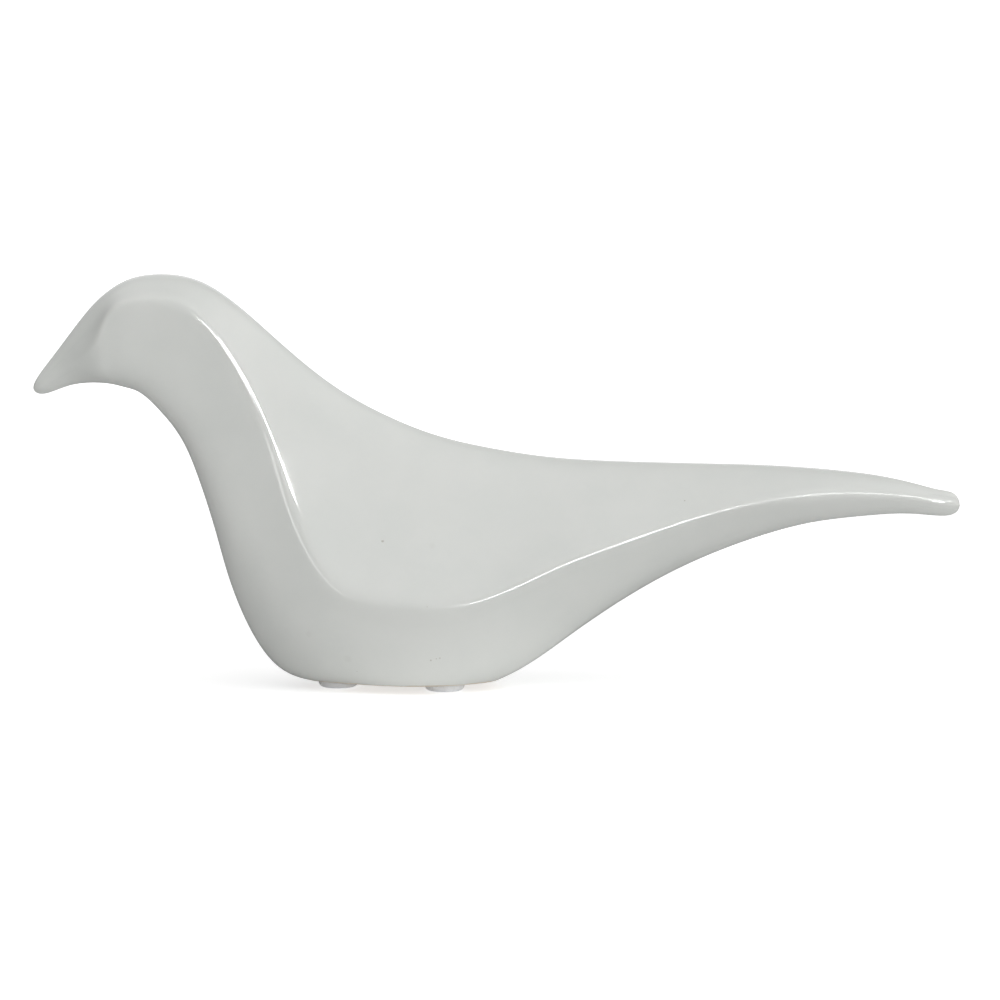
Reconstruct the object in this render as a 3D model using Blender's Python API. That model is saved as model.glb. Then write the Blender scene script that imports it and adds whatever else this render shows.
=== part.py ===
"""Ceramic bird sculpture: a smooth glazed figure with a long tail, standing on three small bumper feet.

The bird faces -X, its tail points to +X and +Z is up. Z = 0 is the surface that the feet stand on,
and the origin is below the middle of the bird. All sizes are in metres.
"""

from typing import NamedTuple

import bmesh
import bpy
import numpy as np
from mathutils import Vector

# Overall size of the figure
BIRD_LENGTH = 0.2903  # beak tip to tail tip
BIRD_WIDTH = 0.060  # across the flanks, at the widest
BIRD_HEIGHT = 0.1275  # flat underside to the top of the head

# The feet: round pads that taper to a smaller sole
PAD_DIAMETER = 0.0127
PAD_SOLE_DIAMETER = 0.0090
PAD_THICKNESS = 0.0022
PAD_GAP = 0.0003  # the adhesive film between a pad and the underside
PAD_RIM_INSET = 0.0026  # from the rim of the underside to the edge of a rear pad
PAD_FRONT_INSET = 0.0026  # from the front end of the underside to the front pad
PAD_REAR_INSET = 0.0102  # from the rear end of the underside to the rear pads

# The vent of the casting, under the belly
VENT_DIAMETER = 0.0050
VENT_DEPTH = 0.0050

# How finely the smooth figure is faceted
RINGS = 70
RING_EVENNESS = 0.65  # from 0 for rings that crowd with the ribs to 1 for equal spacing
TIP_RINGS = (0.13, 0.4, 0.75)  # the rings nearest to each tip, counted in ribs
POINTS_PER_SPAN = 3
PAD_SIDES = 32
PAD_RINGS = 4
SHARP_DEGREES = 40  # edges that turn by more than this are shaded as crisp

UNDERSIDE_Z = PAD_THICKNESS + PAD_GAP


class Form(NamedTuple):
    """The shape of a slice across the bird, as shares of the slice's depth and half width."""

    ridge: float  # half width of the rounding on top
    hollow: float  # how far the back dips in between the ridge and the crest
    bulge: float  # how far the flank bulges out between the crest and the lower corner
    corner_depth: float  # how far down the lower corner lies
    corner_width: float  # half width at the lower corner
    keel: float  # half width of the rounding below
    crest_round: float  # size of the rounding on the crest, as a share of the bird's width


class Rib(NamedTuple):
    """One slice of the bird, from its crown line on top to its keel line below.

    Places are shares of the figure's length, counted from the beak, and of its height, counted from
    the underside. The half width is a share of the figure's. The crest is the line where back and
    flank meet, as a share of the way from crown to keel.
    """

    crown: tuple[float, float]
    keel: tuple[float, float]
    half_width: float
    crest: float
    form: Form


BEAK = Form(0.45, 0.00, 0.00, 0.80, 0.80, 0.42, 0.090)
FACE = Form(0.40, 0.06, 0.00, 0.86, 0.92, 0.42, 0.085)
BROW = Form(0.40, 0.03, 0.00, 0.90, 0.92, 0.43, 0.050)
HEAD = Form(0.40, 0.00, 0.00, 0.92, 0.90, 0.44, 0.095)
NECK = Form(0.38, 0.00, 0.00, 0.91, 0.86, 0.42, 0.060)
BREAST = Form(0.29, 0.00, 0.02, 0.88, 0.76, 0.34, 0.110)
CHEST = Form(0.24, 0.00, 0.06, 0.925, 0.70, 0.28, 0.140)
BELLY = Form(0.23, 0.00, 0.08, 0.94, 0.67, 0.38, 0.120)
LOIN = Form(0.23, 0.00, 0.06, 0.885, 0.64, 0.25, 0.062)
RUMP = Form(0.24, 0.00, 0.02, 0.87, 0.68, 0.36, 0.055)
TAIL = Form(0.29, 0.00, 0.00, 0.82, 0.68, 0.40, 0.065)
TIP = Form(0.42, 0.00, 0.00, 0.80, 0.73, 0.45, 0.200)

BEAK_TIP = (0.0000, 0.7195)
TAIL_TIP = (1.0000, 0.4290)
RIBS = (
    Rib((0.0085, 0.7600), (0.0125, 0.7058), 0.085, 0.52, BEAK),
    Rib((0.0298, 0.8238), (0.0404, 0.7266), 0.160, 0.52, BEAK),
    Rib((0.0573, 0.9055), (0.0694, 0.7335), 0.340, 0.48, FACE),
    Rib((0.0792, 0.9550), (0.0865, 0.7300), 0.402, 0.245, BROW),
    Rib((0.1025, 0.9865), (0.1000, 0.7225), 0.425, 0.180, BROW),
    Rib((0.1345, 1.0000), (0.1170, 0.7075), 0.430, 0.17, HEAD),
    Rib((0.1778, 0.9850), (0.1375, 0.6635), 0.440, 0.175, HEAD),
    Rib((0.2229, 0.9197), (0.1606, 0.5925), 0.460, 0.247, NECK),
    Rib((0.2721, 0.8206), (0.1795, 0.4885), 0.505, 0.345, NECK),
    Rib((0.3256, 0.7234), (0.1974, 0.3575), 0.600, 0.464, NECK),
    Rib((0.3816, 0.6515), (0.2180, 0.2020), 0.735, 0.572, BREAST),
    Rib((0.4374, 0.6017), (0.2620, 0.0355), 0.885, 0.622, BREAST),
    Rib((0.4935, 0.5719), (0.3290, -0.0105), 0.985, 0.624, CHEST),
    Rib((0.5496, 0.5518), (0.4174, -0.0345), 1.000, 0.572, BELLY),
    Rib((0.6077, 0.5416), (0.5076, 0.0060), 0.935, 0.452, LOIN),
    Rib((0.6694, 0.5369), (0.5802, 0.1140), 0.820, 0.427, RUMP),
    Rib((0.7341, 0.5334), (0.6559, 0.2275), 0.665, 0.410, RUMP),
    Rib((0.8009, 0.5286), (0.7358, 0.3165), 0.500, 0.388, TAIL),
    Rib((0.8680, 0.5169), (0.8198, 0.3795), 0.350, 0.385, TIP),
    Rib((0.9180, 0.5015), (0.8830, 0.4020), 0.240, 0.410, TIP),
    Rib((0.9550, 0.4823), (0.9320, 0.4100), 0.160, 0.420, TIP),
    Rib((0.9780, 0.4690), (0.9650, 0.4066), 0.115, 0.430, TIP),
    Rib((0.9940, 0.4590), (0.9900, 0.4062), 0.078, 0.430, TIP),
)

# Where the control points between two corners of a slice lie, as a share of the way
BACK_MIDDLE = 0.45
FLANK_MIDDLE = 0.55

# How round the ridge is, from 0 for a flat strip to a third for a plain edge
RIDGE_ROUND = 0.18

GLAZE_WHITE = (0.78, 0.80, 0.77, 1.0)
GLAZE_ROUGHNESS = 0.08
PAD_WHITE = (0.88, 0.90, 0.94, 1.0)
PAD_ROUGHNESS = 0.25


def clear_scene():
    """Removes every object of the startup scene."""
    for obj in list(bpy.data.objects):
        bpy.data.objects.remove(obj)


def closed_spline(points):
    """Control points of the smooth closed curve that passes through the points, one for each."""
    points = np.asarray(points, float)
    turns = 2 * np.pi * np.arange(len(points)) / len(points)
    damping = (2 + np.cos(turns)) / 3
    return np.fft.ifft(np.fft.fft(points, axis=0) / damping[:, None], axis=0).real


def along_spline(controls, steps):
    """Points of the closed B-spline with these control points, at the steps, which count controls."""
    start = np.floor(steps).astype(int)
    f = steps - start
    shares = ((1 - f) ** 3, 3 * f**3 - 6 * f**2 + 4, -3 * f**3 + 3 * f**2 + 3 * f + 1, f**3)
    return sum(
        share[:, None] / 6 * controls[(start + k - 1) % len(controls)]
        for k, share in enumerate(shares)
    )


def between(a, b, share):
    """The points that lie this share of the way from a to b."""
    return a + (b - a) * share


def rounded(corner, neighbour, size):
    """A point next to a corner, towards its neighbour, that rounds the corner to about this size."""
    reach = np.linalg.norm(neighbour - corner, axis=-1, keepdims=True)
    return between(corner, neighbour, size / (reach + size))


def side_of_slice(depth, half_width, crest, form):
    """Control points of one side of each slice, from crown to keel, as (depth, width) pairs."""
    ridge, hollow, bulge, corner_depth, corner_width, keel, crest_round = form.T
    nothing = np.zeros_like(depth)

    def spot(down, out):
        return np.stack([down, out], axis=-1)

    rise = RIDGE_ROUND * ridge * crest * depth
    ridge_edge = spot(2 * rise, ridge * half_width)
    crest_line = spot(crest * depth, half_width)
    corner = spot(corner_depth * depth, corner_width * half_width)
    size = crest_round[:, None] * BIRD_WIDTH
    return np.stack(
        [
            spot(-rise, nothing),
            ridge_edge,
            between(ridge_edge, crest_line, BACK_MIDDLE) - spot(nothing, hollow * half_width),
            rounded(crest_line, ridge_edge, size),
            crest_line,
            rounded(crest_line, corner, size),
            between(crest_line, corner, FLANK_MIDDLE) + spot(nothing, bulge * half_width),
            corner,
            spot(depth, keel * half_width),
            spot(depth, nothing),
        ],
        axis=1,
    )


def outline_loop(rings):
    """The rings' crown and keel points in the XZ plane and the other values of their slices.

    The ribs are run round as one closed loop, over the crown to the tail tip and back along the
    keel, so that both tips come out rounded.
    """
    scale = np.array([BIRD_LENGTH, BIRD_HEIGHT])
    crown = [rib.crown for rib in RIBS]
    keel = [rib.keel for rib in RIBS]
    outline = closed_spline([BEAK_TIP, *crown, TAIL_TIP, *keel[::-1]]) * scale
    widths = [rib.half_width for rib in RIBS]
    breadth = closed_spline(
        np.array([0.0, *widths, 0.0, *(-width for width in widths[::-1])])[:, None]
    )
    traits = [[rib.crest, *rib.form] for rib in (RIBS[0], *RIBS, RIBS[-1])]
    shape = closed_spline([*traits, *traits[-2:0:-1]])
    half_width = along_spline(breadth, rings)[:, 0] * BIRD_WIDTH / 2
    return (
        along_spline(outline, rings),
        along_spline(outline, -rings),
        half_width,
        along_spline(shape, rings),
    )


def ring_places():
    """Where the rings lie, counted in ribs from the beak tip."""
    last = len(RIBS) + 1
    near_beak = np.array(TIP_RINGS)
    near_tail = last - near_beak[::-1]
    places = np.linspace(near_beak[-1], near_tail[0], 8 * last)
    crown, keel = outline_loop(places)[:2]
    steps = np.linalg.norm(np.diff(crown + keel, axis=0), axis=1)
    run = np.append(0, np.cumsum(steps)) / steps.sum()
    crowded = (places - places[0]) / (places[-1] - places[0])
    spread = RING_EVENNESS * run + (1 - RING_EVENNESS) * crowded
    between_tips = np.interp(np.arange(1, RINGS) / RINGS, spread, places)
    return np.concatenate([near_beak, between_tips, near_tail])


def bird_rings():
    """The surface as rings of points, from just behind the beak tip to just before the tail tip."""
    crown, keel, half_width, shape = outline_loop(ring_places())
    down = keel - crown
    depth = np.linalg.norm(down, axis=1)
    side = side_of_slice(depth, half_width, shape[:, 0], shape[:, 1:])
    other_side = side[:, -2:0:-1] * (1, -1)
    controls = np.concatenate([side, other_side], axis=1)
    spans = controls.shape[1]
    steps = np.arange(spans * POINTS_PER_SPAN) / POINTS_PER_SPAN
    found = []
    for start, way, slice_controls in zip(crown, down / depth[:, None], controls):
        points = along_spline(slice_controls, steps)
        x, z = (start[:, None] + way[:, None] * points[:, 0])
        found.append(np.stack([x, points[:, 1], z], axis=1))
    return np.array(found)


def fit_to_size(points):
    """The points stretched so that the figure has its named length, width and height."""
    low = points.reshape(-1, 3).min(axis=0)
    high = points.reshape(-1, 3).max(axis=0)
    x = (points[..., 0] - (low[0] + high[0]) / 2) * BIRD_LENGTH / (high[0] - low[0])
    y = points[..., 1] * BIRD_WIDTH / (high[1] - low[1])
    z = points[..., 2] * BIRD_HEIGHT / high[2] + UNDERSIDE_Z
    return np.stack([x, y, z], axis=-1)


def add_object(name, bm, material):
    """A smooth shaded object made from a bmesh, whose sharp edges stay crisp."""
    mesh = bpy.data.meshes.new(name)
    bm.to_mesh(mesh)
    bm.free()
    mesh.shade_smooth()
    mesh.set_sharp_from_angle(angle=np.radians(SHARP_DEGREES))
    mesh.materials.append(material)
    obj = bpy.data.objects.new(name, mesh)
    bpy.context.scene.collection.objects.link(obj)
    return obj


def make_material(name, colour, roughness):
    """A plain Principled material."""
    material = bpy.data.materials.new(name)
    material.use_nodes = True
    shader = material.node_tree.nodes["Principled BSDF"]
    shader.inputs["Base Color"].default_value = colour
    shader.inputs["Roughness"].default_value = roughness
    shader.inputs["Metallic"].default_value = 0.0
    return material


def make_bird(material):
    """The ceramic figure, cut flat below, with its vent. Returns it and the rim of its underside."""
    last = float(len(RIBS) + 1)
    tips = outline_loop(np.array([0.0, last]))[0]
    rings = bird_rings()
    count, around = rings.shape[:2]
    ends = np.stack([tips[:, 0], np.zeros(2), tips[:, 1]], axis=1)
    points = fit_to_size(np.concatenate([ends[:1], rings.reshape(-1, 3), ends[1:]]))
    bm = bmesh.new()
    verts = [bm.verts.new(point) for point in points]
    beak, tail = verts[0], verts[-1]

    def ring(i):
        return verts[1 + i * around : 1 + (i + 1) * around]

    for k in range(around):
        bm.faces.new((beak, ring(0)[k], ring(0)[k - 1]))
        bm.faces.new((tail, ring(count - 1)[k - 1], ring(count - 1)[k]))
        for i in range(count - 1):
            bm.faces.new((ring(i)[k - 1], ring(i)[k], ring(i + 1)[k], ring(i + 1)[k - 1]))
    bmesh.ops.recalc_face_normals(bm, faces=bm.faces)
    bmesh.ops.bisect_plane(
        bm,
        geom=[*bm.verts, *bm.edges, *bm.faces],
        plane_co=(0, 0, UNDERSIDE_Z),
        plane_no=(0, 0, 1),
        clear_inner=True,
    )
    rim = [edge for edge in bm.edges if edge.is_boundary]
    underside = bmesh.ops.contextual_create(bm, geom=rim)["faces"][0]
    rim_points = np.array([vert.co for vert in {v for edge in rim for v in edge.verts}])
    bmesh.ops.recalc_face_normals(bm, faces=bm.faces)
    bm.faces.index_update()
    flat_face = underside.index
    bird = add_object("bird", bm, material)
    bird.data.polygons[flat_face].use_smooth = False
    return bird, rim_points


def cut_vent(bird, x):
    """Drills the casting's vent up into the belly."""
    bm = bmesh.new()
    bmesh.ops.create_cone(
        bm,
        cap_ends=True,
        segments=PAD_SIDES,
        radius1=VENT_DIAMETER / 2,
        radius2=VENT_DIAMETER / 2,
        depth=2 * VENT_DEPTH,
    )
    cutter = add_object("vent_cutter", bm, bird.data.materials[0])
    cutter.location = (x, 0, UNDERSIDE_Z)
    cutter.hide_render = True
    cutter.display_type = "WIRE"
    cut = bird.modifiers.new("Vent", "BOOLEAN")
    cut.operation = "DIFFERENCE"
    cut.object = cutter


def rim_half_width(rim, x):
    """Half the width of the underside at x."""
    near = rim[rim[:, 1] >= 0]
    near = near[near[:, 0].argsort()]
    return float(np.interp(x, near[:, 0], near[:, 1]))


def make_pad(name, x, y, material):
    """One bumper foot: a round pad whose edge curves in to a flat sole."""
    top, sole = PAD_DIAMETER / 2, PAD_SOLE_DIAMETER / 2
    turn = np.linspace(0, np.pi / 2, PAD_RINGS + 1)
    radii = sole + (top - sole) * np.sin(turn)
    heights = PAD_THICKNESS * (1 - np.cos(turn))
    bm = bmesh.new()
    profile = [(0, 0), *zip(radii, heights), (0, PAD_THICKNESS)]
    verts = [bm.verts.new((r, 0, z)) for r, z in profile]
    edges = [bm.edges.new(pair) for pair in zip(verts, verts[1:])]
    bmesh.ops.spin(
        bm,
        geom=[*verts, *edges],
        cent=(0, 0, 0),
        axis=(0, 0, 1),
        angle=2 * np.pi,
        steps=PAD_SIDES,
    )
    bmesh.ops.remove_doubles(bm, verts=bm.verts, dist=1e-6)
    bmesh.ops.recalc_face_normals(bm, faces=bm.faces)
    pad = add_object(name, bm, material)
    pad.location = Vector((x, y, 0))
    return pad


def main():
    """Builds the whole object."""
    clear_scene()
    glaze = make_material("white_glaze", GLAZE_WHITE, GLAZE_ROUGHNESS)
    rubber = make_material("clear_rubber", PAD_WHITE, PAD_ROUGHNESS)
    bird, rim = make_bird(glaze)
    front_end, rear_end = rim[:, 0].min(), rim[:, 0].max()
    cut_vent(bird, (front_end + rear_end) / 2)
    front_x = front_end + PAD_FRONT_INSET + PAD_DIAMETER / 2
    rear_x = rear_end - PAD_REAR_INSET - PAD_DIAMETER / 2
    rear_y = rim_half_width(rim, rear_x) - PAD_RIM_INSET - PAD_DIAMETER / 2
    make_pad("foot_pad_front", front_x, 0, rubber)
    make_pad("foot_pad_rear_left", rear_x, -rear_y, rubber)
    make_pad("foot_pad_rear_right", rear_x, rear_y, rubber)


main()
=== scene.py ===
"""Ceramic bird sculpture in its finished look: white glaze, bare clay underneath and clear bumper feet.

The bird faces -X with its tail towards +X, and +Z is up. Everything is in metres, in the frame of
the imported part: Z = 0 is the surface that the feet stand on.
"""

import logging
from dataclasses import dataclass
from enum import Enum
from functools import reduce
from math import cos, pi, radians, sin
from typing import NamedTuple

import bmesh
import bpy
import numpy as np
from bpy.types import Material, Mesh, Node, NodeSocket, NodeTree, Object
from mathutils import Matrix, Vector


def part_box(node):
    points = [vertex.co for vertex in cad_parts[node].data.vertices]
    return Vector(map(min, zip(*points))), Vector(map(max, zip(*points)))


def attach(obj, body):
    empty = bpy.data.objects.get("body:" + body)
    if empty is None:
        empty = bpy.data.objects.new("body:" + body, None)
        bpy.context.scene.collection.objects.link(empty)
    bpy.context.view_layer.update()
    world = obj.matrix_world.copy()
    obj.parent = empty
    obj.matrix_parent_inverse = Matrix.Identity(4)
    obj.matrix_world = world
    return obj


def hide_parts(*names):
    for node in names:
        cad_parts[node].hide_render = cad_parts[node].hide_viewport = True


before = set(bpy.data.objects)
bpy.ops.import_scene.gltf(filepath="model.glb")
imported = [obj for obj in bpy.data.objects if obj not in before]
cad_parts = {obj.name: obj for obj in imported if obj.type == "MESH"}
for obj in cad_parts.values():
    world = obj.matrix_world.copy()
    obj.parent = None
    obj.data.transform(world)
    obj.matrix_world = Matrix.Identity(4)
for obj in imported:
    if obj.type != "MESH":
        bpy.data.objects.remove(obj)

log = logging.getLogger("ceramic bird")

BODY = "root"
UNDERSIDE_Z = 0.0025
HAIR = 1e-6  # shorter than any real length here, in metres
WHITE = (1.0, 1.0, 1.0, 1.0)
THIN_GLAZE_AND_EDGE_HIGHLIGHT = "thin_glaze"
POOLED_GLAZE_AND_HOLLOW_SHADE = "deep_glaze"

CLOUD_RIM = (0.3, 0.7)  # where a cloud's soft edge starts and ends, as values of its noise
SPECK_RIM = (0.35, 0.6)  # the same for a speck, in speck sizes from its middle
MARK_RIM = (0.2, 0.6)  # the same for a flaw, in its diameters
FINER_GRAIN = 3.1  # how many times finer the second layer of grain is
GRAIN_SHARES = (0.75, 0.25)  # how much each layer of grain counts

Colour = tuple[float, float, float]
Term = NodeSocket | float | int | tuple


@dataclass(frozen=True)
class Board:
    """A node tree that is laid out from left to right as nodes are added to it."""

    tree: NodeTree

    def add(self, kind: str, feeds: dict[str | int, Term] | None = None, **settings: object) -> Node:
        """Adds one node.

        Args:
            kind: Blender's name for the node type.
            feeds: What each of its inputs gets, a value or another node's output.
            settings: The node's own options.

        Returns:
            The new node.
        """
        node = self.tree.nodes.new(kind)
        node.location = (180 * len(self.tree.nodes), 0)
        for option, value in settings.items():
            setattr(node, option, value)
        self.feed(node, feeds or {})
        return node

    def feed(self, node: Node, feeds: dict[str | int, Term]) -> None:
        """Links a node's inputs to other nodes' outputs, or sets their values.

        Args:
            node: The node.
            feeds: What each of its inputs gets.
        """
        for place, term in feeds.items():
            if isinstance(term, NodeSocket):
                self.tree.links.new(term, node.inputs[place])
            else:
                node.inputs[place].default_value = term

    def math(self, operation: str, *terms: Term, clamp: bool = False) -> NodeSocket:
        """One sum of the named kind, kept from 0 to 1 if it is clamped."""
        feeds = dict(enumerate(terms))
        return self.add("ShaderNodeMath", feeds, operation=operation, use_clamp=clamp).outputs[0]

    def times(self, first: Term, second: Term) -> NodeSocket:
        """The product of two numbers."""
        return self.math("MULTIPLY", first, second)

    def rest(self, share: Term) -> NodeSocket:
        """What a share leaves of 1."""
        return self.math("SUBTRACT", 1.0, share)

    def total(self, *terms: Term) -> NodeSocket:
        """The sum of several numbers."""
        return reduce(lambda first, second: self.math("ADD", first, second), terms)

    def measure(self, operation: str, *vectors: Term) -> NodeSocket:
        """One number that is worked out from vectors, such as a distance."""
        feeds = dict(enumerate(vectors))
        return self.add("ShaderNodeVectorMath", feeds, operation=operation).outputs["Value"]

    def fade(self, value: Term, start: Term, end: Term) -> NodeSocket:
        """A soft step from 0 where the value is at start to 1 where it is at end."""
        feeds = {"Value": value, "From Min": start, "From Max": end}
        return self.add("ShaderNodeMapRange", feeds, interpolation_type="SMOOTHSTEP").outputs["Result"]

    def mix(self, share: Term, first: Term, second: Term) -> NodeSocket:
        """A blend of two colours, with this share of the second one."""
        a, b = ((*c, 1.0) if isinstance(c, tuple) else c for c in (first, second))
        return self.add("ShaderNodeMix", {0: share, 6: a, 7: b}, data_type="RGBA").outputs[2]

    def group(self, tree: NodeTree, **feeds: Term) -> NodeSocket:
        """The output of a shader node group, whose inputs are named here with _ for a space."""
        named = {name.replace("_", " "): term for name, term in feeds.items()}
        return self.add("ShaderNodeGroup", named, node_tree=tree).outputs[0]


class Input(NamedTuple):
    """One named input of a node group, its kind of socket and its usual value."""

    name: str
    kind: str = "Float"
    value: float | None = None


@dataclass(frozen=True)
class Group(Board):
    """A node group, with the node that brings its inputs in and the one that takes its result."""

    given: Node
    taken: Node

    @classmethod
    def start(cls, name: str, kind: str, output: Input, *inputs: Input) -> "Group":
        """Starts a node group.

        Args:
            name: The group's name.
            kind: Blender's name for the kind of tree.
            output: Its only output.
            inputs: Its inputs.

        Returns:
            The group.
        """
        tree = bpy.data.node_groups.new(name, kind)
        for entry, way in [(output, "OUTPUT"), *((entry, "INPUT") for entry in inputs)]:
            kind_of_socket = f"NodeSocket{entry.kind}"
            socket = tree.interface.new_socket(entry.name, in_out=way, socket_type=kind_of_socket)
            if entry.value is not None:
                socket.default_value = entry.value
        if kind == "GeometryNodeTree":
            tree.is_modifier = True
        board = Board(tree)
        return cls(tree, board.add("NodeGroupInput"), board.add("NodeGroupOutput"))

    @classmethod
    def of_effect(cls, name: str, output: str, *inputs: Input) -> "Group":
        """Starts a shader node group that works on a place and puts out one number."""
        return cls.start(name, "ShaderNodeTree", Input(output), Input("Place", "Vector"), *inputs)

    @classmethod
    def of_mesh(cls, name: str, *inputs: Input) -> "Group":
        """Starts a Geometry Nodes tree for use as a modifier, with these inputs besides the geometry."""
        geometry = Input("Geometry", "Geometry")
        return cls.start(name, "GeometryNodeTree", geometry, geometry, *inputs)

    def __getitem__(self, name: str) -> NodeSocket:
        """What comes in at the named input."""
        return self.given.outputs[name]

    def close(self, result: NodeSocket) -> NodeTree:
        """Puts the result out, and hands over the finished tree."""
        self.feed(self.taken, {0: result})
        return self.tree

    def dress(self, mesh: NodeSocket, material: NodeSocket, chosen: Term = True) -> NodeTree:
        """Ends a Geometry Nodes tree with one real mesh in its material.

        Args:
            mesh: What the tree made, which may hold instances.
            material: The material.
            chosen: Which faces get it.

        Returns:
            The finished tree.
        """
        real = self.add("GeometryNodeRealizeInstances", {"Geometry": mesh}).outputs[0]
        feeds = {"Geometry": real, "Material": material, "Selection": chosen}
        return self.close(self.add("GeometryNodeSetMaterial", feeds).outputs[0])


@dataclass(frozen=True)
class Paint(Board):
    """A material's node tree, with its Principled shader and the point on the object."""

    material: Material
    shader: Node
    place: NodeSocket

    @classmethod
    def start(cls, name: str) -> "Paint":
        """Starts a material.

        Args:
            name: The material's name.

        Returns:
            The material as a board.
        """
        material = bpy.data.materials.new(name)
        material.use_nodes = True
        shader = material.node_tree.nodes["Principled BSDF"]
        shader.inputs["Metallic"].default_value = 0.0
        place = Board(material.node_tree).add("ShaderNodeTexCoord").outputs["Object"]
        return cls(material.node_tree, material, shader, place)

    def emboss(self, height: NodeSocket) -> None:
        """Gives the material a relief, whose height is in metres."""
        bump = self.add("ShaderNodeBump", {"Strength": 1.0, "Distance": 1.0, "Height": height})
        self.feed(self.shader, {"Normal": bump.outputs["Normal"]})


@dataclass(frozen=True)
class SurfaceEffects:
    """The node groups that more than one finish or flaw uses, each made once."""

    cloud: NodeTree
    grain: NodeTree
    specks: NodeTree
    mark: NodeTree

    @classmethod
    def build(cls) -> "SurfaceEffects":
        """Makes every group."""
        return cls(cls.make_cloud(), cls.make_grain(), cls.make_specks(), cls.make_mark())

    @staticmethod
    def make_cloud() -> NodeTree:
        """Soft drifting patches, for uneven thickness and colour.

        Returns:
            A group that puts out 0 to 1.
        """
        sizes = [Input("Patch Size", value=0.02), Input("Seed", value=0.0)]
        group = Group.of_effect("Soft clouds", "Share", *sizes)
        scale = group.math("DIVIDE", 1.0, group["Patch Size"])
        feeds = {"Vector": group["Place"], "W": group["Seed"], "Scale": scale}
        feeds |= {"Detail": 2.0, "Roughness": 0.5}
        noise = group.add("ShaderNodeTexNoise", feeds, noise_dimensions="4D")
        return group.close(group.fade(noise.outputs[0], *CLOUD_RIM))

    @staticmethod
    def make_grain() -> NodeTree:
        """Fine unevenness at two sizes, as the skin of a fired glaze, of clay or of moulded rubber.

        Returns:
            A group that puts out a height in metres.
        """
        sizes = [Input("Grain Size", value=0.002), Input("Grain Height", value=0.00001)]
        group = Group.of_effect("Fine grain", "Height", *sizes)
        scale = group.math("DIVIDE", 1.0, group["Grain Size"])
        layers = []
        for size, share in zip((scale, group.times(scale, FINER_GRAIN)), GRAIN_SHARES):
            feeds = {"Vector": group["Place"], "Scale": size, "Detail": 1.0}
            layers.append(group.times(group.add("ShaderNodeTexNoise", feeds).outputs[0], share))
        return group.close(group.times(group.total(*layers), group["Grain Height"]))

    @staticmethod
    def make_specks() -> NodeTree:
        """Sparse small round specks, as of iron in a glaze or of grog in clay.

        Returns:
            A group that puts out 1 on a speck and 0 elsewhere.
        """
        usual = {"Spacing": 0.01, "Speck Size": 0.0003, "Share": 0.2}
        sizes = [Input(name, value=value) for name, value in usual.items()]
        group = Group.of_effect("Sparse specks", "Mask", *sizes)
        feeds = {"Vector": group["Place"], "Scale": group.math("DIVIDE", 1.0, group["Spacing"])}
        cells = group.add("ShaderNodeTexVoronoi", feeds)
        reach = group.times(cells.outputs["Distance"], group["Spacing"])
        spot = group.rest(group.fade(group.math("DIVIDE", reach, group["Speck Size"]), *SPECK_RIM))
        channels = group.add("ShaderNodeSeparateColor", {0: cells.outputs["Color"]})
        chosen = group.math("LESS_THAN", channels.outputs[0], group["Share"])
        return group.close(group.times(spot, chosen))

    @staticmethod
    def make_mark() -> NodeTree:
        """One round mark at a given place, full in the middle and soft at the edge.

        Returns:
            A group that puts out 1 on the mark and 0 away from it.
        """
        sizes = [Input("Centre", "Vector"), Input("Diameter", value=0.001)]
        group = Group.of_effect("Round mark", "Mask", *sizes)
        away = group.measure("DISTANCE", group["Place"], group["Centre"])
        diameters = group.math("DIVIDE", away, group["Diameter"])
        return group.close(group.rest(group.fade(diameters, *MARK_RIM)))


class Blemish(Enum):
    """A kind of small flaw in the glaze: how dark it is and how deep its dent, in metres."""

    PINHOLE = (0.55, 0.00012)
    SPECK = (0.42, 0.0)
    SMUDGE = (0.05, 0.0)

    def __init__(self, darkness: float, dent: float) -> None:
        """Names the two values of a kind."""
        self.darkness = darkness
        self.dent = dent


class Flaw(NamedTuple):
    """One small flaw on the left flank, by its place along the bird and its height."""

    kind: Blemish
    x: float
    z: float
    diameter: float


@dataclass(frozen=True, kw_only=True)
class Finish:
    """What every finish has: soft patches and a fine grain."""

    effects: SurfaceEffects
    seed: float
    patch_size: float
    grain_size: float
    grain_height: float

    def patches(self, paint: Paint) -> NodeSocket:
        """The soft patches, from 0 to 1."""
        sizes = {"Patch_Size": self.patch_size, "Seed": self.seed}
        return paint.group(self.effects.cloud, Place=paint.place, **sizes)

    def grain(self, paint: Paint) -> NodeSocket:
        """The fine grain, as a height in metres."""
        sizes = {"Grain_Size": self.grain_size, "Grain_Height": self.grain_height}
        return paint.group(self.effects.grain, Place=paint.place, **sizes)


@dataclass(frozen=True, kw_only=True)
class SpeckledFinish(Finish):
    """A finish with small specks as well, as fired clay and glaze have them."""

    speck: Colour
    speck_spacing: float
    speck_size: float
    speck_share: float
    speck_strength: float

    def speckled(self, paint: Paint, colour: NodeSocket) -> NodeSocket:
        """Adds the specks to a colour.

        Args:
            paint: The material's board.
            colour: The colour without specks.

        Returns:
            The colour with them.
        """
        sizes = {"Spacing": self.speck_spacing, "Speck_Size": self.speck_size}
        specks = paint.group(self.effects.specks, Place=paint.place, Share=self.speck_share, **sizes)
        return paint.mix(paint.times(specks, self.speck_strength), colour, self.speck)


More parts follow.
